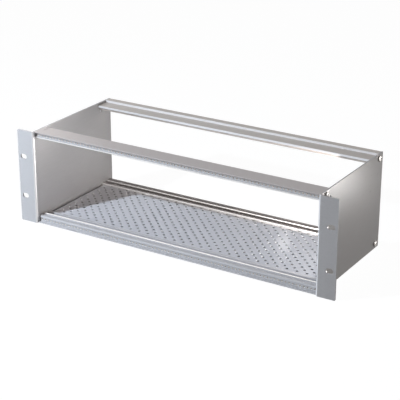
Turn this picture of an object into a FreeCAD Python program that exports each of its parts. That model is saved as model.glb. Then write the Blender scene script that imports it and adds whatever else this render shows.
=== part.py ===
import FreeCAD, Part
import math
import os

# Rack chassis: an open card frame, 3 units high and 84 card pitches wide, for a 19-inch rack.
# Two folded side plates with rack ears carry four extruded rails, and a perforated base plate
# lies in grooves of the two bottom rails. Pieces are drawn with Y = 0 on the front face of the
# ears and Z = 0 on the bottom edge, and are moved to the middle of the depth when they are saved.
# The top rails and the top strip are the bottom ones turned over.

# Overall size
rack_unit = 44.45
height_units = 3
height_allowance = 0.85
overall_width = 482.6
depth = 178.5

# Side plates, folded outward at the front into the rack ears
sheet = 2.0
ear_reach = 24.8
bend_radius = 0.6
ear_corner_radius = 0.8
slot_edge_distance = 8.75
slot_spacing_z = 57.15
slot_length = 10.3
slot_height = 6.8
locating_hole = 3.0
locating_hole_y = 28.0
locating_hole_drop = 10.9
earth_hole = 3.2
earth_hole_rear_distance = 24.5
earth_hole_drop = 12.8

# Front panels and the threaded strips that take their screws
card_pitch = 5.08
panel_thickness = 2.5
panel_gap = 0.1
panel_screw_height = 5.0
strip_inset = 3.8
strip_thickness = 2.0
strip_height = 6.2
strip_clearance = 0.1

# Walls and edges that the rails share
lip = 1.4
web = 1.8
rib = 1.6
keeper = 0.8
keeper_reach = 0.8
head_wall = 1.6
ledge_cap = 2.6
edge_round = 0.5
lip_round = 0.3

# Front rail, from the strip's pocket back to the groove of the base plate
nose_round = 2.0
chamber_width = 2.4
guide_rib_rise = 2.5
guide_channel = 10.1
rear_wall = 2.1

# Rear rail, from the rear edge forward to its shelf
rear_rail_setback = 0.5
rear_foot = 10.4
rear_strip_setback = 4.7
rear_nose_round = 1.2
rear_head_wall = 1.7
rear_channel = 6.9
middle_rib_drop = 0.5
middle_channel = 4.6
shelf_reach = 3.0
shelf_drop = 3.0
shelf_web = 1.6

# Screw ports at the ends of the rails and the screws in them
port_wall = 1.5
port_bore = 3.6
port_into_rib = 0.8
port_into_web = 0.1
port_into_head = 1.4
port_above_shelf = 0.1
screw_fit = 0.05
screw_hole_clearance = 0.35
screw_length = 12.0
screw_head = 7.6
screw_head_height = 2.3
screw_head_rim = 1.1
screw_head_crown = 4.6

# Base plate and the grooves that hold it
plate = 1.0
plate_fit = 0.05
plate_seat = 6.0
plate_side_gap = 3.5
front_groove = 1.5
rear_groove = 3.7
groove_end_gap = 0.2

# Perforation, a square grid turned by 45 degrees
hole_size = 4.0
hole_step = 7.05
first_row_distance = 10.7
hole_edge_margin = 1.0

# Short slot in the top of the upper front rail, near its left end
mark_width = 0.9
mark_length = 11.0
mark_depth = 0.6
mark_end_distance = 7.1
mark_rear_distance = 1.1

# How finely rounds are drawn: small ones as flats, repeated ones with few sides
smallest_arc = 1.0
perforation_sides = 4
screw_sides = 12
same_point = 0.000001

# Width and height
overall_height = height_units * rack_unit - height_allowance
half_height = overall_height / 2
half_width = overall_width / 2
inner_width = overall_width - 2 * (ear_reach + sheet)
half_inner = inner_width / 2
pitch_count = int(inner_width // card_pitch)

# Pocket of a threaded strip, the same at the front and at the rear
panel_plane = panel_thickness + panel_gap
strip_setback = panel_plane + strip_inset
pocket_front = strip_setback - strip_clearance
pocket_rear = strip_setback + strip_thickness + strip_clearance
pocket_low = panel_screw_height - strip_height / 2 - strip_clearance
pocket_high = panel_screw_height + strip_height / 2 + strip_clearance
mouth_low = pocket_low + keeper_reach
mouth_high = pocket_high - keeper_reach
head_height = pocket_high + head_wall

# Heights of the base plate's grooves
groove_top = plate_seat + plate + 2 * plate_fit
ledge_height = groove_top + ledge_cap

# Front rail from front to rear
guide_rib_y = pocket_rear + rib + chamber_width
guide_rib_rear = guide_rib_y + rib
rear_wall_y = guide_rib_rear + guide_channel
front_groove_floor = rear_wall_y + rear_wall
front_rail_rear = front_groove_floor + front_groove

# Rear rail from rear to front
rear_edge = depth - rear_rail_setback
rear_pocket_mouth = depth - rear_strip_setback
rear_pocket_floor = rear_pocket_mouth - strip_thickness - 2 * strip_clearance
rear_head_y = rear_pocket_floor - rear_head_wall
middle_rib_y = rear_head_y - rear_channel - rib
rear_groove_floor = middle_rib_y - middle_channel - rib
ledge_lip_y = rear_groove_floor - rear_groove
rear_rail_front = ledge_lip_y - shelf_reach

# Screw ports as (y, height above the bottom edge), front and rear
port_radius = port_bore / 2 + port_wall
front_port = (guide_rib_rear + port_radius - port_into_rib, web + port_radius - port_into_web)
rear_port = (rear_head_y + port_into_head - port_radius, shelf_drop + port_above_shelf + port_radius)

AXIS_X = FreeCAD.Vector(1, 0, 0)
AXIS_Y = FreeCAD.Vector(0, 1, 0)
AXIS_Z = FreeCAD.Vector(0, 0, 1)
MIDDLE = FreeCAD.Vector(0, 0, half_height)


def rounded_wire(corners, to_point):
    """Closed wire through corners (a, b) or (a, b, radius), with an arc or a small flat there."""
    edges = []
    starts = []
    ends = []
    count = len(corners)
    for index, corner in enumerate(corners):
        here = to_point(corner[0], corner[1])
        radius = corner[2] if len(corner) == 3 else 0
        if radius == 0:
            starts.append(here)
            ends.append(here)
            continue
        before = to_point(*corners[index - 1][:2]) - here
        after = to_point(*corners[(index + 1) % count][:2]) - here
        before.normalize()
        after.normalize()
        half_angle = before.getAngle(after) / 2
        bisector = before + after
        bisector.normalize()
        start = here + before * (radius / math.tan(half_angle))
        end = here + after * (radius / math.tan(half_angle))
        middle = here + bisector * (radius / math.sin(half_angle) - radius)
        if radius < smallest_arc:
            edges.append(Part.makeLine(start, end))
        else:
            edges.append(Part.Arc(start, middle, end).toShape())
        starts.append(start)
        ends.append(end)
    for index in range(count):
        following = starts[(index + 1) % count]
        if ends[index].distanceToPoint(following) > same_point:
            edges.append(Part.makeLine(ends[index], following))
    return Part.Wire(Part.__sortEdges__(edges))


def even_sided(centre, size, sides, first, second):
    """Outline with equal sides and the area of a round one, in the plane of two directions."""
    turn = 2 * math.pi / sides
    radius = size / 2 * math.sqrt(turn / math.sin(turn))
    corners = []
    for side in range(sides + 1):
        first_part = first * radius * math.cos(side * turn)
        second_part = second * radius * math.sin(side * turn)
        corners.append(centre + first_part + second_part)
    return Part.makePolygon(corners)


def screw_outline(x, y, z, size):
    """Outline across a rail screw or a hole for one."""
    return even_sided(FreeCAD.Vector(x, y, z), size, screw_sides, AXIS_Y, AXIS_Z)


def rail_point(y, height):
    """Point of a rail's section, drawn at the rail's left end."""
    return FreeCAD.Vector(-half_inner, y, height)


def extruded_rail(outline, port, chambers):
    """Rail with the section that the outline gives, its screw port and its hollow chambers."""
    ring = Part.Circle(rail_point(*port), AXIS_X, port_radius).toShape()
    section = Part.Face(rounded_wire(outline, rail_point))
    section = section.fuse(Part.Face(Part.Wire(ring))).removeSplitter()
    section = section.cut(Part.Face(screw_outline(-half_inner, *port, port_bore)))
    for corners in chambers:
        section = section.cut(Part.Face(rounded_wire(corners, rail_point)))
    return section.Faces[0].extrude(AXIS_X * inner_width)


def front_rail():
    """Lower front rail: panel lip, strip pocket, guide rib, screw port and grooved rear wall."""
    keeper_face = pocket_front - keeper
    chamber_front = pocket_rear + rib
    chamber_top = head_height - rib
    outline = [
        (panel_plane, 0, lip_round),
        (front_rail_rear, 0, lip_round),
        (front_rail_rear, plate_seat),
        (front_groove_floor, plate_seat),
        (front_groove_floor, groove_top),
        (front_rail_rear, groove_top),
        (front_rail_rear, ledge_height, edge_round),
        (rear_wall_y, ledge_height, edge_round),
        (rear_wall_y, web, edge_round),
        (guide_rib_rear, web),
        (guide_rib_rear, head_height + guide_rib_rise, edge_round),
        (guide_rib_y, head_height + guide_rib_rise, edge_round),
        (guide_rib_y, head_height),
        (keeper_face, head_height, nose_round),
        (keeper_face, mouth_high),
        (pocket_front, mouth_high),
        (pocket_front, pocket_high),
        (pocket_rear, pocket_high),
        (pocket_rear, pocket_low),
        (pocket_front, pocket_low),
        (pocket_front, mouth_low),
        (keeper_face, mouth_low),
        (keeper_face, lip),
        (panel_plane, lip, lip_round),
    ]
    chamber = [
        (chamber_front, web, edge_round),
        (guide_rib_y, web, edge_round),
        (guide_rib_y, chamber_top, edge_round),
        (chamber_front, chamber_top, edge_round),
    ]
    return extruded_rail(outline, front_port, [chamber])


def rear_rail():
    """Lower rear rail: recessed shelf, groove for the base plate, ribs and a rear strip pocket."""
    keeper_face = rear_pocket_mouth + keeper
    middle_rib_height = head_height - middle_rib_drop
    shelf_inner = shelf_drop + shelf_web
    outline = [
        (rear_rail_front, shelf_drop, lip_round),
        (rear_edge - rear_foot, shelf_drop),
        (rear_edge - rear_foot, 0, lip_round),
        (rear_edge, 0, lip_round),
        (rear_edge, lip, lip_round),
        (keeper_face, lip),
        (keeper_face, mouth_low),
        (rear_pocket_mouth, mouth_low),
        (rear_pocket_mouth, pocket_low),
        (rear_pocket_floor, pocket_low),
        (rear_pocket_floor, pocket_high),
        (rear_pocket_mouth, pocket_high),
        (rear_pocket_mouth, mouth_high),
        (keeper_face, mouth_high),
        (keeper_face, head_height, rear_nose_round),
        (rear_head_y, head_height, edge_round),
        (rear_head_y, shelf_inner),
        (middle_rib_y + rib, shelf_inner, edge_round),
        (middle_rib_y + rib, middle_rib_height, edge_round),
        (middle_rib_y, middle_rib_height, edge_round),
        (middle_rib_y, shelf_inner, edge_round),
        (rear_groove_floor + rib, shelf_inner, edge_round),
        (rear_groove_floor + rib, ledge_height, edge_round),
        (ledge_lip_y, ledge_height, edge_round),
        (ledge_lip_y, groove_top),
        (rear_groove_floor, groove_top),
        (rear_groove_floor, plate_seat),
        (rear_rail_front, plate_seat, lip_round),
    ]
    return extruded_rail(outline, rear_port, [])


def turned_over(shape):
    """The same piece at the top of the chassis."""
    return shape.mirror(MIDDLE, AXIS_Z)


def marked(rail):
    """Upper front rail with the short slot near its left end."""
    corner = FreeCAD.Vector(
        -half_inner + mark_end_distance - mark_width / 2,
        front_rail_rear - mark_rear_distance - mark_length,
        overall_height - mark_depth,
    )
    return rail.cut(Part.makeBox(mark_width, mark_length, 2 * mark_depth, corner))


def threaded_strip():
    """Lower threaded strip, as long as the card pitches, drawn without its tapped holes."""
    length = pitch_count * card_pitch
    corner = FreeCAD.Vector(-length / 2, strip_setback, panel_screw_height - strip_height / 2)
    return Part.makeBox(length, strip_thickness, strip_height, corner)


def perforations(half_length, front, rear, height):
    """Outlines of the base plate's holes, in rows of which every second one is offset."""
    room_x = half_length - hole_size / 2 - hole_edge_margin
    room_y = rear - hole_size / 2 - hole_edge_margin - front
    holes = []
    for row in range(int(room_y // hole_step) + 1):
        offset = hole_step * (row % 2)
        last = int((room_x - offset) // (2 * hole_step))
        first = -last - row % 2
        for column in range(first, last + 1):
            x = 2 * hole_step * column + offset
            centre = FreeCAD.Vector(x, front + row * hole_step, height)
            holes.append(even_sided(centre, hole_size, perforation_sides, AXIS_X, AXIS_Y))
    return holes


def base_plate():
    """Perforated sheet that lies in the grooves of the lower rails."""
    half_length = half_inner - plate_side_gap
    front = front_groove_floor + groove_end_gap
    rear = rear_groove_floor - groove_end_gap
    height = plate_seat + plate_fit
    corners = [(-half_length, front), (half_length, front), (half_length, rear), (-half_length, rear)]
    outline = rounded_wire(corners, lambda x, y: FreeCAD.Vector(x, y, height))
    holes = perforations(half_length, front_rail_rear + first_row_distance, rear, height)
    return Part.Face([outline] + holes).extrude(AXIS_Z * plate)


def rack_slot(z):
    """Cutter for one slot with round ends, right through the right ear."""
    radius = slot_height / 2
    middle = half_width - slot_edge_distance
    left = middle - slot_length / 2
    right = middle + slot_length / 2
    corners = [
        (left, z - radius, radius),
        (right, z - radius, radius),
        (right, z + radius, radius),
        (left, z + radius, radius),
    ]
    wire = rounded_wire(corners, lambda a, b: FreeCAD.Vector(a, -sheet, b))
    return Part.Face(wire).extrude(AXIS_Y * 3 * sheet)


def screw_hole(y, z):
    """Cutter for one rail screw's hole, right through the right side plate."""
    size = port_bore + 2 * screw_hole_clearance
    return Part.Face(screw_outline(half_inner - sheet, y, z, size)).extrude(AXIS_X * 3 * sheet)


def round_hole(y, drop, size):
    """Cutter for one round hole below the top edge, right through the right side plate."""
    start = FreeCAD.Vector(half_inner - sheet, y, overall_height - drop)
    return Part.makeCylinder(size / 2, 3 * sheet, start, AXIS_X)


def side_plate(round_holes):
    """Right side plate, folded outward at the front into its ear."""
    fold = [
        (half_inner, depth),
        (half_inner + sheet, depth),
        (half_inner + sheet, sheet, bend_radius),
        (half_width, sheet),
        (half_width, 0),
        (half_inner, 0, bend_radius + sheet),
    ]
    front_view = [
        (half_inner, 0),
        (half_width, 0, ear_corner_radius),
        (half_width, overall_height, ear_corner_radius),
        (half_inner, overall_height),
    ]
    fold_wire = rounded_wire(fold, lambda x, y: FreeCAD.Vector(x, y, 0))
    view_wire = rounded_wire(front_view, lambda x, z: FreeCAD.Vector(x, 0, z))
    folded = Part.Face(fold_wire).extrude(AXIS_Z * overall_height)
    folded = folded.common(Part.Face(view_wire).extrude(AXIS_Y * depth))
    cutters = []
    for side in (-1, 1):
        cutters.append(rack_slot(half_height + side * slot_spacing_z / 2))
    for y, height in (front_port, rear_port):
        cutters.append(screw_hole(y, height))
        cutters.append(screw_hole(y, overall_height - height))
    for hole in round_holes:
        cutters.append(round_hole(*hole))
    for cutter in cutters:
        folded = folded.cut(cutter)
    return folded


def rail_screw(y, z):
    """Screw through the right side plate into a screw port, with a head that narrows outward."""
    seat = half_inner + sheet
    shank_end = screw_outline(seat - screw_length, y, z, port_bore - 2 * screw_fit)
    head_seat = screw_outline(seat, y, z, screw_head)
    head_edge = screw_outline(seat + screw_head_rim, y, z, screw_head)
    head_top = screw_outline(seat + screw_head_height, y, z, screw_head_crown)
    shank = Part.Face(shank_end).extrude(AXIS_X * screw_length)
    rim = Part.Face(head_seat).extrude(AXIS_X * screw_head_rim)
    crown = Part.makeLoft([head_edge, head_top], True, True)
    return shank.fuse([rim, crown]).removeSplitter()


def rail_screws():
    """All eight rail screws, four on each side."""
    screws = []
    for y, height in (front_port, rear_port):
        for z in (height, overall_height - height):
            right = rail_screw(y, z)
            screws.append(right)
            screws.append(mirrored_left(right))
    return Part.makeCompound(screws)


def mirrored_left(shape):
    """The same piece on the left of the chassis."""
    return shape.mirror(FreeCAD.Vector(0, 0, 0), AXIS_X)


def save(name, shape):
    """Writes one piece, moved so that the origin is below the middle of the chassis."""
    placed = shape.copy()
    placed.translate(FreeCAD.Vector(0, -depth / 2, 0))
    placed.exportStep(os.path.join("parts", name + ".step"))


os.makedirs("parts", exist_ok=True)

locating = (locating_hole_y, locating_hole_drop, locating_hole)
earth = (depth - earth_hole_rear_distance, earth_hole_drop, earth_hole)
front = front_rail()
rear = rear_rail()
strip = threaded_strip()

save("side_plate_right", side_plate([locating]))
save("side_plate_left", mirrored_left(side_plate([locating, earth])))
save("front_rail_bottom", front)
save("front_rail_top", marked(turned_over(front)))
save("rear_rail_bottom", rear)
save("rear_rail_top", turned_over(rear))
save("threaded_strip_bottom", strip)
save("threaded_strip_top", turned_over(strip))
save("base_plate", base_plate())
save("rail_screws", rail_screws())
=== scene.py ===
import math

import bmesh
import bpy
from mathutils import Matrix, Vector
from mathutils.geometry import delaunay_2d_cdt


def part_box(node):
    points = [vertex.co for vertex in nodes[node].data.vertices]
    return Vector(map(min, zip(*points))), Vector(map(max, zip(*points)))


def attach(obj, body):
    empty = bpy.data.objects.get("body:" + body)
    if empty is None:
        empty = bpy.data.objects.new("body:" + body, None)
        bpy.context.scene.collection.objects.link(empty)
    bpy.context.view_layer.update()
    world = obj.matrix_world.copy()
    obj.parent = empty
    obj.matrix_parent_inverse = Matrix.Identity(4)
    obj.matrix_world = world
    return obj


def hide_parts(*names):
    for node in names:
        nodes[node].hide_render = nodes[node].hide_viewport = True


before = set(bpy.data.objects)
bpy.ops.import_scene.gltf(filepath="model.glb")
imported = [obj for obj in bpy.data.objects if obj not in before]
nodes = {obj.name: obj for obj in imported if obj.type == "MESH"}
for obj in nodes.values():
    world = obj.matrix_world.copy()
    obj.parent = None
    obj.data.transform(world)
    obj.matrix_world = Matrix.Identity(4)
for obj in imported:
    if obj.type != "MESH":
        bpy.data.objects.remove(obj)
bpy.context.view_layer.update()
MM = 0.001

# Camera in metres and degrees, fitted to the corners of the ears and side plates in the photograph
CAMERA_AT = (0.8371, -1.35925, 0.6968)
CAMERA_AZIMUTH = 31.80
CAMERA_ELEVATION = 22.07
CAMERA_LENS = 115.72
CAMERA_SENSOR = 36
CAMERA_NEAR = 0.05
CAMERA_FAR = 50

# Size of the chassis, in millimetres like the sizes of its parts below
DEPTH = 178.5
HEIGHT = 132.5

# Tapped holes of the strips, one for each pitch, and their height above the underside or below the top
STRIP_HOLES = 84
PITCH = 5.08
PANEL_SCREW_HEIGHT = 5.0
TAPPED_HOLE = 2.05
TAPPED_CHAMFER = 0.2
TAPPED_SEGMENTS = 20

# Perforation of the base plate: a hole's wall is inside the nominal circle, its chamfer opens beyond it
PERFORATION = 4.0
PERFORATION_INSET = 0.15
PERFORATION_CHAMFER = 0.4
PERFORATION_SEGMENTS = 24
HOLE_STEP = 7.05
HOLE_ROWS = 17
FIRST_ROW = 38.5 - DEPTH / 2

# Rail screws: their places, counted from the ears' front and from the underside or top
SCREW_FRONT = 16.6
SCREW_FRONT_HEIGHT = 5.0
SCREW_REAR = 168.0
SCREW_REAR_HEIGHT = 6.4
SCREW_PLACES = [
    (SCREW_FRONT - DEPTH / 2, SCREW_FRONT_HEIGHT),
    (SCREW_FRONT - DEPTH / 2, HEIGHT - SCREW_FRONT_HEIGHT),
    (SCREW_REAR - DEPTH / 2, SCREW_REAR_HEIGHT),
    (SCREW_REAR - DEPTH / 2, HEIGHT - SCREW_REAR_HEIGHT),
]
# Outside of the side plates, where the heads sit
SCREW_SEAT = 216.5
SCREW_SEGMENTS = 48
# Turned outline from the tip to the head's top, as (radius, distance outward from the seat)
SCREW_OUTLINE = [
    (0.0, -12.0),
    (1.2, -12.0),
    (1.75, -11.2),
    (1.75, 0.0),
    (3.55, 0.0),
    (3.78, 0.18),
    (3.8, 0.75),
    (3.62, 1.25),
    (3.2, 1.7),
    (2.7, 2.0),
    (2.2, 2.16),
]
# Six-lobed recess from its mouth to its floor, as (mean radius, distance outward from the seat)
RECESS_OUTLINE = [(1.55, 2.25), (1.45, 2.1), (1.4, 0.7)]
RECESS_LOBES = 6
RECESS_LOBE_DEPTH = 0.28

# Painted highlights on the rails' edges that face the front, a lighter colour standing in for light on
# their rounded edges: front and rear from the ears' front, low and high from the floor
PAINTED_EDGE_HIGHLIGHTS = {
    "front_rail_top": (2.0, 6.4, 120.0, 125.0),
    "rear_rail_top_front": (148.0, 149.4, 126.0, 129.6),
    "rear_rail_top_rear": (167.0, 168.2, 129.4, 132.6),
    "front_rail_bottom": (12.0, 13.1, 11.7, 12.4),
    "rear_rail_bottom_front": (151.0, 152.2, 7.0, 9.8),
    "rear_rail_bottom_rear": (165.3, 167.4, 8.4, 9.9),
}
# A face counts as facing the front where its normal's Y is below this
FACING_FRONT = -0.5
# Painted highlight on the rounded fold of the ears, a lighter colour standing in for light on the bend:
# distances from the middle, and front and rear from the ears' front
FOLD_INNER = 214.45
FOLD_OUTER = 216.9
FOLD_FRONT = -1.0
FOLD_REAR = 2.2

# Floor, in metres: its half size, its depth under the chassis, and half the size of the shade there
FLOOR_REACH = 6.0
FLOOR_DROP = 0.0002
SHADE_HALF_WIDTH = 0.2135
SHADE_HALF_DEPTH = 0.084
# Its glow and tone for the camera, its tone for the camera in the shade under the chassis, darker than its
# tone for other light as painted shade seen through the holes, and its tone for other light
FLOOR_GLOW = 0.97
FLOOR_MATT = (0.08, 0.08, 0.08)
FLOOR_UNDER_PAINTED_SHADE = (0.28, 0.25, 0.24)
FLOOR_BOUNCE = (0.62, 0.61, 0.60)

# Light of the surroundings
AMBIENT = 0.115
AMBIENT_COLOUR = (1.0, 0.90, 0.87)
WHITE = (1, 1, 1)

# Texture of the metals: share of the patches in the tone, spans used of the noise, and the bump's height
PATCH_SHARE = 0.45
TONE_SPAN = (0.35, 0.65)
STREAK_SPAN = (0.3, 0.7)
ROUGHNESS_SPREAD = 0.04
BUMP_HEIGHT = 0.02 * MM

# Points nearer than this count as one, in metres
TOUCHING = 1e-7
# A drilled sheet's own corners, and its material slots beside the sheet's
SHEET_CORNERS = 4
CHAMFER_SLOT = 1
WALL_SLOT = 2


# Meshes
def new_object(name, mesh_builder, material, node_names):
    """A mesh object that stands for the CAD nodes and rides on the chassis."""
    mesh = bpy.data.meshes.new(name)
    builder = bmesh.new()
    mesh_builder(builder)
    bmesh.ops.recalc_face_normals(builder, faces=builder.faces)
    builder.to_mesh(mesh)
    builder.free()
    piece = bpy.data.objects.new(name, mesh)
    bpy.context.scene.collection.objects.link(piece)
    mesh.materials.append(material)
    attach(piece, "root")
    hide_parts(*node_names)
    return piece


def circle(centre, radius, segments, lobe_depth=0.0):
    """Points round a centre, as pairs; a lobe depth bends the circle into the recess's lobes."""
    points = []
    for step in range(segments):
        turn = 2 * math.pi * step / segments
        reach = radius + lobe_depth * math.cos(RECESS_LOBES * turn)
        points.append((centre[0] + reach * math.cos(turn), centre[1] + reach * math.sin(turn)))
    return points


def bridge(builder, outer, inner, slot=0):
    """Smooth faces between two rings with the same number of corners."""
    for step in range(len(outer)):
        following = (step + 1) % len(outer)
        face = builder.faces.new((outer[step], outer[following], inner[following], inner[step]))
        face.smooth = True
        face.material_index = slot


def hole_of(corners, segments):
    """Number of the hole whose rim has all the corners of a triangle, or -1."""
    holes = {(corner - SHEET_CORNERS) // segments for corner in corners}
    return holes.pop() if len(holes) == 1 else -1


def drilled_sheet(builder, low, high, thickness, centres, radius, chamfer, segments, to_space):
    """Flat sheet with a round hole at each centre, chamfered on both faces.

    Triangles over a hole go. The thin ones along its rim lie beyond the reach and stay over the chamfer.
    """
    points = [Vector(low), Vector((high[0], low[1])), Vector(high), Vector((low[0], high[1]))]
    edges = [(0, 1), (1, 2), (2, 3), (3, 0)]
    for centre in centres:
        start = len(points)
        points += [Vector(point) for point in circle(centre, radius + chamfer, segments)]
        edges += [(start + step, start + (step + 1) % segments) for step in range(segments)]
    result = delaunay_2d_cdt(points, edges, [], 0, TOUCHING)
    flat = result[0]
    triangles = result[2]
    top = [builder.verts.new(to_space(point.x, point.y, 0)) for point in flat]
    bottom = [builder.verts.new(to_space(point.x, point.y, thickness)) for point in flat]
    reach = radius + chamfer / 2
    for corners in triangles:
        hole = hole_of(corners, segments)
        middle = sum((flat[corner] for corner in corners), Vector((0, 0))) / 3
        if hole >= 0 and math.dist(middle, centres[hole]) < reach:
            continue
        builder.faces.new([top[corner] for corner in corners])
        builder.faces.new([bottom[corner] for corner in reversed(corners)])
    for first in range(SHEET_CORNERS):
        second = (first + 1) % SHEET_CORNERS
        builder.faces.new((top[first], top[second], bottom[second], bottom[first]))
    for index, centre in enumerate(centres):
        start = SHEET_CORNERS + index * segments
        upper = top[start:start + segments]
        lower = bottom[start:start + segments]
        wall = circle(centre, radius, segments)
        near = [builder.verts.new(to_space(x, y, chamfer)) for x, y in wall]
        far = [builder.verts.new(to_space(x, y, thickness - chamfer)) for x, y in wall]
        bridge(builder, upper, near, CHAMFER_SLOT)
        bridge(builder, near, far, WALL_SLOT)
        bridge(builder, far, lower, CHAMFER_SLOT)


# Shader nodes
def fill(tree, node, inputs):
    """Give a node its inputs, each a plain value or another node's output."""
    for key, value in inputs.items():
        if isinstance(value, bpy.types.NodeSocket):
            tree.links.new(value, node.inputs[key])
        else:
            node.inputs[key].default_value = value


def add_node(tree, kind, inputs):
    """A new node with its inputs filled."""
    node = tree.nodes.new(kind)
    fill(tree, node, inputs)
    return node


def add_math(tree, operation, *values):
    """The outcome of an operation on values or other nodes' outputs."""
    node = tree.nodes.new("ShaderNodeMath")
    node.operation = operation
    fill(tree, node, dict(enumerate(values)))
    return node.outputs["Value"]


def add_mix(tree, data_type, factor, first, second):
    """The first input where the factor is zero, the second where it is one."""
    node = tree.nodes.new("ShaderNodeMix")
    node.data_type = data_type
    fill(tree, node, {"Factor": factor, "A": first, "B": second})
    return node.outputs["Result"]


def geometry_axes(tree, output):
    """The X, Y and Z of the shaded point's position or normal."""
    geometry = tree.nodes.new("ShaderNodeNewGeometry")
    return add_node(tree, "ShaderNodeSeparateXYZ", {"Vector": geometry.outputs[output]}).outputs


def between(tree, value, low, high):
    """One where the value lies between two lengths in millimetres, zero elsewhere."""
    return add_math(tree, "COMPARE", value, (low + high) / 2 * MM, (high - low) / 2 * MM)


def seen_ray(tree):
    """One for rays from the camera, for reflections and for rays through glass."""
    path = tree.nodes.new("ShaderNodeLightPath").outputs
    seen = add_math(tree, "MAXIMUM", path["Is Camera Ray"], path["Is Glossy Ray"])
    return add_math(tree, "MAXIMUM", seen, path["Is Transmission Ray"])


# Materials
def painted_rail_highlights(tree):
    """One on the rails' edges that face the front, where highlights are painted, zero elsewhere."""
    place = geometry_axes(tree, "Position")
    mask = 0.0
    for front, rear, low, high in PAINTED_EDGE_HIGHLIGHTS.values():
        along = between(tree, place["Y"], front - DEPTH / 2, rear - DEPTH / 2)
        level = between(tree, place["Z"], low, high)
        mask = add_math(tree, "MAXIMUM", mask, add_math(tree, "MULTIPLY", along, level))
    forward = add_math(tree, "LESS_THAN", geometry_axes(tree, "True Normal")["Y"], FACING_FRONT)
    return add_math(tree, "MULTIPLY", mask, forward)


def painted_fold_highlight(tree):
    """One on the rounded fold between side plate and ear, where a highlight is painted, zero elsewhere."""
    place = geometry_axes(tree, "Position")
    across = between(tree, add_math(tree, "ABSOLUTE", place["X"]), FOLD_INNER, FOLD_OUTER)
    along = between(tree, place["Y"], FOLD_FRONT - DEPTH / 2, FOLD_REAR - DEPTH / 2)
    return add_math(tree, "MULTIPLY", across, along)


def metal(name, dark, light, roughness, metallic, grain, bump, patches=6.0, gloss=0.5, painted_highlight_mask=None,
          painted_highlight_colour=None, painted_highlight_metallic=1.0):
    """Satin metal: tone streaked along the grain and a fine bump; where the highlight mask says so, a
    lighter colour and its own metallic paint a highlight.
    """
    material = bpy.data.materials.new(name)
    material.use_nodes = True
    tree = material.node_tree
    shader = tree.nodes["Principled BSDF"]
    fill(tree, shader, {"Metallic": metallic, "Specular IOR Level": gloss})
    place = tree.nodes.new("ShaderNodeTexCoord").outputs["Object"]
    stretch = add_node(tree, "ShaderNodeMapping", {"Vector": place, "Scale": grain})
    streak_look = {"Vector": stretch.outputs["Vector"], "Scale": 1.0, "Detail": 4.0, "Roughness": 0.6}
    streak = add_node(tree, "ShaderNodeTexNoise", streak_look).outputs["Fac"]
    patch_look = {"Vector": place, "Scale": patches, "Detail": 3.0}
    patch = add_node(tree, "ShaderNodeTexNoise", patch_look).outputs["Fac"]
    tone = add_node(tree, "ShaderNodeValToRGB", {"Fac": add_mix(tree, "FLOAT", PATCH_SHARE, streak, patch)})
    for stop, position, shade in zip(tone.color_ramp.elements, TONE_SPAN, (dark, light)):
        stop.position = position
        stop.color = (*shade, 1)
    colour = tone.outputs["Color"]
    # Painted highlight: where the mask is one, a lighter colour and its own metallic replace the metal's
    if painted_highlight_mask:
        mask = painted_highlight_mask(tree)
        colour = add_mix(tree, "RGBA", mask, colour, (*painted_highlight_colour, 1))
        more = add_math(tree, "MULTIPLY", mask, painted_highlight_metallic - metallic)
        fill(tree, shader, {"Metallic": add_math(tree, "ADD", more, metallic)})
    rough = add_node(tree, "ShaderNodeMapRange", {
        "Value": streak,
        "From Min": STREAK_SPAN[0],
        "From Max": STREAK_SPAN[1],
        "To Min": roughness - ROUGHNESS_SPREAD,
        "To Max": roughness + ROUGHNESS_SPREAD,
    })
    true_normal = tree.nodes.new("ShaderNodeNewGeometry").outputs["True Normal"]
    relief_look = {"Strength": bump, "Distance": BUMP_HEIGHT, "Height": streak, "Normal": true_normal}
    relief = add_node(tree, "ShaderNodeBump", relief_look)
    fill(tree, shader, {
        "Base Color": colour,
        "Roughness": rough.outputs["Result"],
        "Normal": relief.outputs["Normal"],
    })
    return material


# What the sheets, the rails, and the sheet and holes of the base plate have in common
SHEET = {"grain": (300, 60, 900), "painted_highlight_mask": painted_fold_highlight, "painted_highlight_metallic": 0.6}
RAIL = {"grain": (8, 700, 700), "bump": 0.06, "painted_highlight_mask": painted_rail_highlights}
PIERCED = {"grain": (40, 500, 500), "bump": 0.08, "roughness": 0.5, "metallic": 0.0}

# The side plates are one sheet metal: the right plate's darker copy is painted shade, and both folds carry
# painted highlights
side_sheet = metal("side_sheet", (0.51, 0.50, 0.50), (0.55, 0.54, 0.54), roughness=0.42, metallic=0.12,
                   bump=0.15, painted_highlight_colour=(0.70, 0.69, 0.69), **SHEET)
side_sheet_painted_shade = metal("side_sheet_painted_shade", (0.45, 0.43, 0.42), (0.49, 0.47, 0.46), roughness=0.31,
                        metallic=0.06, bump=0.05, gloss=0.3, painted_highlight_colour=(0.82, 0.83, 0.86), **SHEET)
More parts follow.
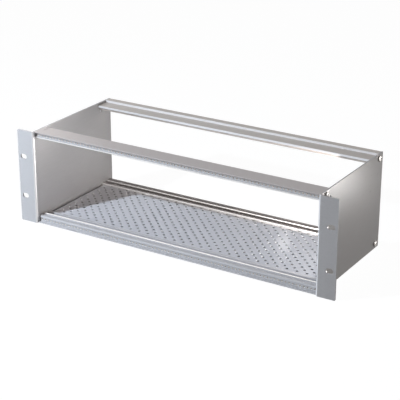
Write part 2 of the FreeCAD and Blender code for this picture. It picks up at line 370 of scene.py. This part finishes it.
# The four rails are one extrusion: the rear top rail's lighter, warmer copy and the front bottom rail's
# lighter copy are painted light, the rear bottom rail's darker copy is painted shade
rail_top = metal("rail_extrusion", (0.50, 0.45, 0.43), (0.54, 0.49, 0.47), roughness=0.45, metallic=0.18,
                 painted_highlight_colour=(0.97, 0.94, 0.90), painted_highlight_metallic=0.15, **RAIL)
rail_rear_painted_light = metal("rail_extrusion_rear_painted_light", (0.56, 0.50, 0.45), (0.60, 0.54, 0.49), roughness=0.45,
                  metallic=0.18, painted_highlight_colour=(0.93, 0.91, 0.90), painted_highlight_metallic=0.15, **RAIL)
rail_low_painted_light = metal("rail_extrusion_low_painted_light", (0.59, 0.57, 0.57), (0.63, 0.61, 0.61), roughness=0.55,
                 metallic=0.06, gloss=0.15, painted_highlight_colour=(0.66, 0.61, 0.55), **RAIL)
rail_back_painted_shade = metal("rail_extrusion_painted_shade", (0.41, 0.38, 0.37), (0.45, 0.42, 0.41), roughness=0.5,
                  metallic=0.05, gloss=0.15, painted_highlight_colour=(0.96, 0.94, 0.92), **RAIL)
pierced = metal("perforated_sheet", (0.76, 0.75, 0.78), (0.80, 0.79, 0.82), gloss=0.15, **PIERCED)
# The holes' chamfered rims take a lighter copy of the sheet, a painted highlight, and their walls a dark
# one, painted shade inside the holes
rim_painted_highlight = metal("rim_painted_highlight", (0.92, 0.93, 0.96), (0.95, 0.96, 0.98), **PIERCED)
wall_painted_shade = metal("wall_painted_shade", (0.28, 0.24, 0.22), (0.34, 0.30, 0.28), gloss=0.1, **PIERCED)
strip_zinc = metal("strip_steel", (0.53, 0.53, 0.54), (0.59, 0.59, 0.60), roughness=0.5, metallic=0.3,
                   grain=(60, 500, 500), bump=0.1)
screw_zinc = metal("screw_steel", (0.22, 0.21, 0.20), (0.32, 0.31, 0.30), roughness=0.6, metallic=0.5,
                   grain=(500, 500, 500), bump=0.15, patches=60.0)
# Light warm tone on the tapped holes' chamfers and walls: a painted glint standing in for reflections off
# the threads
thread_painted_glint = metal("thread_steel_painted_glint", (0.86, 0.80, 0.74), (0.94, 0.88, 0.82), roughness=0.4, metallic=0.7,
                    grain=(900, 900, 900), bump=0.1, patches=60.0)
lacquer = {"Coat Weight": 0.12, "Coat Roughness": 0.13}
fill(pierced.node_tree, pierced.node_tree.nodes["Principled BSDF"], lacquer)

for name, material in (
    ("side_plate_left", side_sheet),
    ("side_plate_right", side_sheet_painted_shade),
    ("front_rail_top", rail_top),
    ("rear_rail_top", rail_rear_painted_light),
    ("front_rail_bottom", rail_low_painted_light),
    ("rear_rail_bottom", rail_back_painted_shade),
):
    mesh = nodes[name].data
    mesh.materials.clear()
    mesh.materials.append(material)


# Base plate with round perforations
def perforation_centres():
    """Centres of a square grid turned by 45 degrees: every other row is moved along by one step."""
    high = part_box("base_plate")[1]
    widest = high[0] / MM - PERFORATION
    centres = []
    for row in range(HOLE_ROWS):
        y = FIRST_ROW + row * HOLE_STEP
        offset = HOLE_STEP * (row % 2)
        last = int((widest - offset) // (2 * HOLE_STEP))
        first = -last - row % 2
        for column in range(first, last + 1):
            centres.append(((2 * HOLE_STEP * column + offset) * MM, y * MM))
    return centres


def build_base_plate(builder):
    """The base plate's box, drilled from above."""
    low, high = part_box("base_plate")
    drilled_sheet(
        builder,
        (low[0], low[1]),
        (high[0], high[1]),
        high[2] - low[2],
        perforation_centres(),
        (PERFORATION / 2 - PERFORATION_INSET) * MM,
        PERFORATION_CHAMFER * MM,
        PERFORATION_SEGMENTS,
        lambda x, y, depth: (x, y, high[2] - depth),
    )


plate = new_object("base_plate_pierced", build_base_plate, pierced, ["base_plate"])
plate.data.materials.append(rim_painted_highlight)
plate.data.materials.append(wall_painted_shade)


# Threaded strips with round tapped holes
def strip_builder(node, height):
    """A builder of a strip's box, drilled from the front."""
    def build(builder):
        low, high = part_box(node)
        drilled_sheet(
            builder,
            (low[0], low[2]),
            (high[0], high[2]),
            high[1] - low[1],
            [((index + 0.5 - STRIP_HOLES / 2) * PITCH * MM, height * MM) for index in range(STRIP_HOLES)],
            TAPPED_HOLE / 2 * MM,
            TAPPED_CHAMFER * MM,
            TAPPED_SEGMENTS,
            lambda x, z, depth: (x, low[1] + depth, z),
        )
    return build


for name, node, height in (
    ("threaded_strip_low", "threaded_strip_bottom", PANEL_SCREW_HEIGHT),
    ("threaded_strip_high", "threaded_strip_top", HEIGHT - PANEL_SCREW_HEIGHT),
):
    strip = new_object(name, strip_builder(node, height), strip_zinc, [node])
    strip.data.materials.append(thread_painted_glint)
    strip.data.materials.append(thread_painted_glint)


# Rail screws: domed heads with a six-lobed recess, and plain shanks
def add_screw(builder, side, y, z):
    """One screw along X, with its head outside the side plate."""
    outline = [(radius, along, 0.0) for radius, along in SCREW_OUTLINE]
    outline += [(radius, along, RECESS_LOBE_DEPTH) for radius, along in RECESS_OUTLINE]
    rings = []
    for radius, along, lobe_depth in outline:
        x = side * (SCREW_SEAT + along)
        points = circle((y, z), radius, SCREW_SEGMENTS, lobe_depth)
        rings.append([builder.verts.new(Vector((x, *point)) * MM) for point in points])
    for outer, inner in zip(rings, rings[1:]):
        bridge(builder, outer, inner)
    builder.faces.new(rings[-1])


def build_screws(builder):
    """Four screws through each side plate, with the points of each tip made one."""
    for side in (-1, 1):
        for y, z in SCREW_PLACES:
            add_screw(builder, side, y, z)
    bmesh.ops.remove_doubles(builder, verts=builder.verts, dist=TOUCHING)


new_object("rail_screw_set", build_screws, screw_zinc, ["rail_screws"])


# Floor: pale, and near white to the camera and to reflections, except in the shade under the chassis
def floor_finish():
    """Matt floor that also glows for the camera and for reflections, beyond the shade."""
    material = bpy.data.materials.new("floor_white")
    material.use_nodes = True
    tree = material.node_tree
    tree.nodes.clear()
    seen = seen_ray(tree)
    place = geometry_axes(tree, "Position")
    beyond_x = add_math(tree, "GREATER_THAN", add_math(tree, "ABSOLUTE", place["X"]), SHADE_HALF_WIDTH)
    beyond_y = add_math(tree, "GREATER_THAN", add_math(tree, "ABSOLUTE", place["Y"]), SHADE_HALF_DEPTH)
    beyond = add_math(tree, "MAXIMUM", beyond_x, beyond_y)
    seen_colour = add_mix(tree, "RGBA", beyond, (*FLOOR_UNDER_PAINTED_SHADE, 1), (*FLOOR_MATT, 1))
    colour = add_mix(tree, "RGBA", seen, (*FLOOR_BOUNCE, 1), seen_colour)
    matt = add_node(tree, "ShaderNodeBsdfDiffuse", {"Color": colour})
    strength = add_math(tree, "MULTIPLY", add_math(tree, "MULTIPLY", beyond, seen), FLOOR_GLOW)
    glow = add_node(tree, "ShaderNodeEmission", {"Strength": strength})
    both = add_node(tree, "ShaderNodeAddShader", {0: matt.outputs["BSDF"], 1: glow.outputs["Emission"]})
    add_node(tree, "ShaderNodeOutputMaterial", {"Surface": both.outputs["Shader"]})
    return material


floor_mesh = bpy.data.meshes.new("floor")
floor_corners = []
for across, along in ((-1, -1), (1, -1), (1, 1), (-1, 1)):
    floor_corners.append((across * FLOOR_REACH, along * FLOOR_REACH, -FLOOR_DROP))
floor_mesh.from_pydata(floor_corners, [], [(0, 1, 2, 3)])
floor_mesh.materials.append(floor_finish())
floor = bpy.data.objects.new("floor", floor_mesh)
bpy.context.scene.collection.objects.link(floor)


# World: white to the camera and to reflections, and a weak warm light otherwise
def studio_world():
    """The world with its two colours."""
    world = bpy.data.worlds.new("studio")
    world.use_nodes = True
    tree = world.node_tree
    tree.nodes.clear()
    ambient = (*(AMBIENT * value for value in AMBIENT_COLOUR), 1)
    colour = add_mix(tree, "RGBA", seen_ray(tree), ambient, (*WHITE, 1))
    sky = add_node(tree, "ShaderNodeBackground", {"Color": colour})
    add_node(tree, "ShaderNodeOutputWorld", {"Surface": sky.outputs["Background"]})
    return world


bpy.context.scene.world = studio_world()


# Lamps, in metres and watts: a key from the front left, and soft ones that show as sheens in the metal
def lamp(name, place, target, power, colour, size, lights="both"):
    """Disk lamp; lights says whether it is for both, for matt or for glossy shading only."""
    light = bpy.data.lights.new(name, "AREA")
    light.energy = power
    light.color = colour
    light.shape = "DISK"
    light.size = size
    holder = bpy.data.objects.new(name, light)
    bpy.context.scene.collection.objects.link(holder)
    holder.location = place
    direction = Vector(target) - Vector(place)
    holder.rotation_euler = direction.to_track_quat("-Z", "Y").to_euler()
    holder.visible_camera = False
    holder.visible_diffuse = lights != "glossy"
    holder.visible_glossy = lights != "matt"


lamp("key", place=(-0.565, -0.845, 0.755), target=(0, 0, 0.05), power=11.1,
     colour=(0.78, 0.88, 1.0), size=0.03)
lamp("left_fill", place=(-0.42, -0.36, 0.06), target=(-0.2, -0.09, 0.07), power=0.4,
     colour=(0.80, 0.88, 1.0), size=0.06, lights="matt")
lamp("side_sheen_low", place=(0.42, 0.25, 0.012), target=(0.2, -0.05, 0.1), power=0.45,
     colour=(1.0, 0.98, 0.96), size=0.05, lights="glossy")
lamp("side_sheen_high", place=(0.45, 0.15, 0.15), target=(0.2, -0.03, 0.1), power=4.6,
     colour=(1.0, 0.97, 0.95), size=0.06, lights="glossy")
lamp("inner_sheen", place=(0.17, 0.05, 0.08), target=(-0.2145, -0.08, 0.11), power=3.4,
     colour=(1.0, 0.97, 0.96), size=0.06, lights="glossy")
lamp("top_sheen", place=(-1.0, 0.6, 0.45), target=(-0.1, 0, 0.1), power=2.2,
     colour=(1.0, 0.95, 0.92), size=0.5, lights="glossy")
lamp("base_sheen", place=(-0.013, 0.257, 0.129), target=(0.115, 0.014, 0.007), power=0.022,
     colour=(1.0, 0.99, 0.97), size=0.02, lights="glossy")

# Camera
eye = bpy.data.cameras.new("camera")
eye.lens = CAMERA_LENS
eye.sensor_width = CAMERA_SENSOR
eye.clip_start = CAMERA_NEAR
eye.clip_end = CAMERA_FAR
camera = bpy.data.objects.new("camera", eye)
bpy.context.scene.collection.objects.link(camera)
camera.location = CAMERA_AT
camera.rotation_euler = (math.radians(90 - CAMERA_ELEVATION), 0, math.radians(CAMERA_AZIMUTH))
bpy.context.scene.camera = camera

bpy.context.scene.view_settings.view_transform = "Standard"
